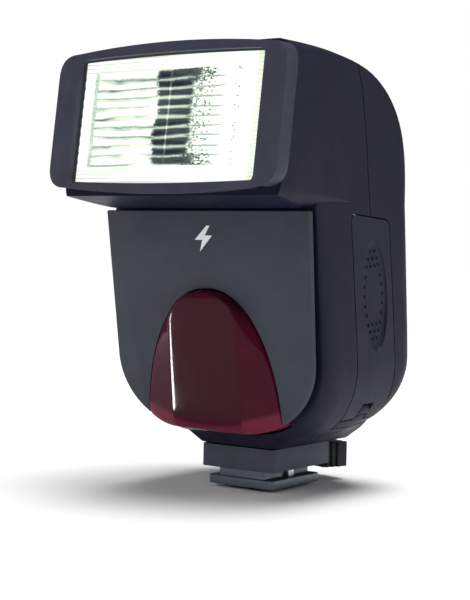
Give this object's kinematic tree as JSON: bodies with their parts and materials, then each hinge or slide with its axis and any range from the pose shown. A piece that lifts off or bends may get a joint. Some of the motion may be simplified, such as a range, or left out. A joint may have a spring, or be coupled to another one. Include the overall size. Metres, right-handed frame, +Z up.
{
  "type": "speedlight flash",
  "caption": "Compact shoe-mount camera flash with a fixed lamp head, red focus-assist window, side battery door and a locking foot.",
  "frame": {"origin": "centre of the underside of the shoe foot, on the flash's centre plane, at the middle contact", "axes": "+Z up out of the camera's shoe, -Y the way the lamp faces, +X to the flash's left, which is the right hand of someone facing the lamp"},
  "size_m": [0.0622, 0.0666, 0.1003],
  "materials": {
    "shell": "fine spark-textured black with a blue cast",
    "front_cover": "smooth satin slate",
    "control_cover": "satin",
    "red_lens": "polished dark red",
    "fresnel": "clear moulded with fine ribs",
    "reflector_metal": "rippled bright metal",
    "tube_glass": "clear",
    "screen_glass": "clear flat",
    "screen": "grey-green display",
    "sleeve_rubber": "milky silicone",
    "capacitor_sleeve": "shrink sleeve",
    "coil": "varnished winding",
    "circuit_board": "solder mask",
    "black_plastic": "moulded",
    "contact_steel": "plated spring steel",
    "steel": "plain",
    "foot_metal": "blue-grey coated metal",
    "contact_brass": "gold plated",
    "cell_sleeve": "printed metal sleeve",
    "key_rubber": "matt"
  },
  "bodies": {
    "housing": {"front_housing": "shell", "rear_housing": "shell", "front_panel": "front_cover", "af_window": "red_lens", "flash_bezel": "shell", "flash_lens": "fresnel", "reflector": "reflector_metal", "flash_tube": "tube_glass", "tube_sleeve_left": "sleeve_rubber", "tube_sleeve_right": "sleeve_rubber", "main_capacitor": "capacitor_sleeve", "trigger_coil": "coil", "main_board": "circuit_board", "converter_transformer": "coil", "af_led_board": "circuit_board", "af_led": "tube_glass", "battery_cradle": "black_plastic", "battery_cell_1": "cell_sleeve", "battery_cell_2": "cell_sleeve", "battery_cell_3": "cell_sleeve", "battery_cell_4": "cell_sleeve", "cell_contact_plate": "contact_steel", "control_panel": "control_cover", "lcd_window": "screen_glass", "lcd_module": "screen", "display_board": "circuit_board", "ready_lamp": "red_lens", "shoe_foot": "foot_metal", "contact_carrier": "black_plastic", "side_ground_contact": "contact_steel", "foot_block": "black_plastic", "lever_pivot": "steel", "foot_screw_1": "steel", "foot_screw_2": "steel", "foot_screw_3": "steel", "foot_screw_4": "steel"},
    "door_carriage": {"door_slider": "shell", "door_hinge_pin": "steel"},
    "door": {"battery_door": "shell", "door_contact_plate": "contact_steel"},
    "power_knob": {"power_switch": "black_plastic"},
    "test_key": {"test_button": "key_rubber"},
    "mode_key": {"mode_button": "key_rubber"},
    "light_key": {"light_button": "key_rubber"},
    "minus_key": {"minus_button": "key_rubber"},
    "plus_key": {"plus_button": "key_rubber"},
    "lever": {"lock_lever": "black_plastic"},
    "pin": {"lock_pin": "steel"},
    "centre_pin": {"centre_contact": "contact_brass"},
    "left_pin": {"data_contact_left": "contact_brass"},
    "middle_pin": {"data_contact_middle": "contact_brass"},
    "right_pin": {"data_contact_right": "contact_brass"}
  },
  "joints": [
    {"name": "door_slide", "type": "slide", "parent": "housing", "child": "door_carriage", "axis": [0, 0.0958, -0.9954], "range_m": [0, 0.0035]},
    {"name": "door_swing", "type": "hinge", "parent": "door_carriage", "child": "door", "pos_m": [0.024, 0.00308, 0.0194], "axis": [0, 1, 0], "range_deg": [0, 90]},
    {"name": "power_slide", "type": "slide", "parent": "housing", "child": "power_knob", "axis": [1, 0, 0], "range_m": [0, 0.004]},
    {"name": "test_press", "type": "slide", "parent": "housing", "child": "test_key", "axis": [0, -0.9988, -0.0499], "range_m": [0, 0.0005], "stiffness_N_per_m": 600, "springref_m": -0.0003},
    {"name": "mode_press", "type": "slide", "parent": "housing", "child": "mode_key", "axis": [0, -0.9988, -0.0499], "range_m": [0, 0.0005], "stiffness_N_per_m": 600, "springref_m": -0.0003},
    {"name": "light_press", "type": "slide", "parent": "housing", "child": "light_key", "axis": [0, -0.9988, -0.0499], "range_m": [0, 0.0005], "stiffness_N_per_m": 600, "springref_m": -0.0003},
    {"name": "minus_press", "type": "slide", "parent": "housing", "child": "minus_key", "axis": [0, -0.9988, -0.0499], "range_m": [0, 0.0005], "stiffness_N_per_m": 600, "springref_m": -0.0003},
    {"name": "plus_press", "type": "slide", "parent": "housing", "child": "plus_key", "axis": [0, -0.9988, -0.0499], "range_m": [0, 0.0005], "stiffness_N_per_m": 600, "springref_m": -0.0003},
    {"name": "lever_turn", "type": "hinge", "parent": "housing", "child": "lever", "pos_m": [0, 0, 0.00625], "axis": [0, 0, 1], "range_deg": [0, 40]},
    {"name": "pin_drop", "type": "slide", "parent": "housing", "child": "pin", "axis": [0, 0, -1], "range_m": [0, 0.00121]},
    {"name": "centre_contact_press", "type": "slide", "parent": "housing", "child": "centre_pin", "axis": [0, 0, 1], "range_m": [0, 0.0005], "stiffness_N_per_m": 500, "springref_m": -0.0003},
    {"name": "left_contact_press", "type": "slide", "parent": "housing", "child": "left_pin", "axis": [0, 0, 1], "range_m": [0, 0.0005], "stiffness_N_per_m": 500, "springref_m": -0.0003},
    {"name": "middle_contact_press", "type": "slide", "parent": "housing", "child": "middle_pin", "axis": [0, 0, 1], "range_m": [0, 0.0005], "stiffness_N_per_m": 500, "springref_m": -0.0003},
    {"name": "right_contact_press", "type": "slide", "parent": "housing", "child": "right_pin", "axis": [0, 0, 1], "range_m": [0, 0.0005], "stiffness_N_per_m": 500, "springref_m": -0.0003}
  ],
  "couplings": [
    {"joint": "pin_drop", "follows": "lever_turn", "m_per_rad": 0.001718}
  ]
}
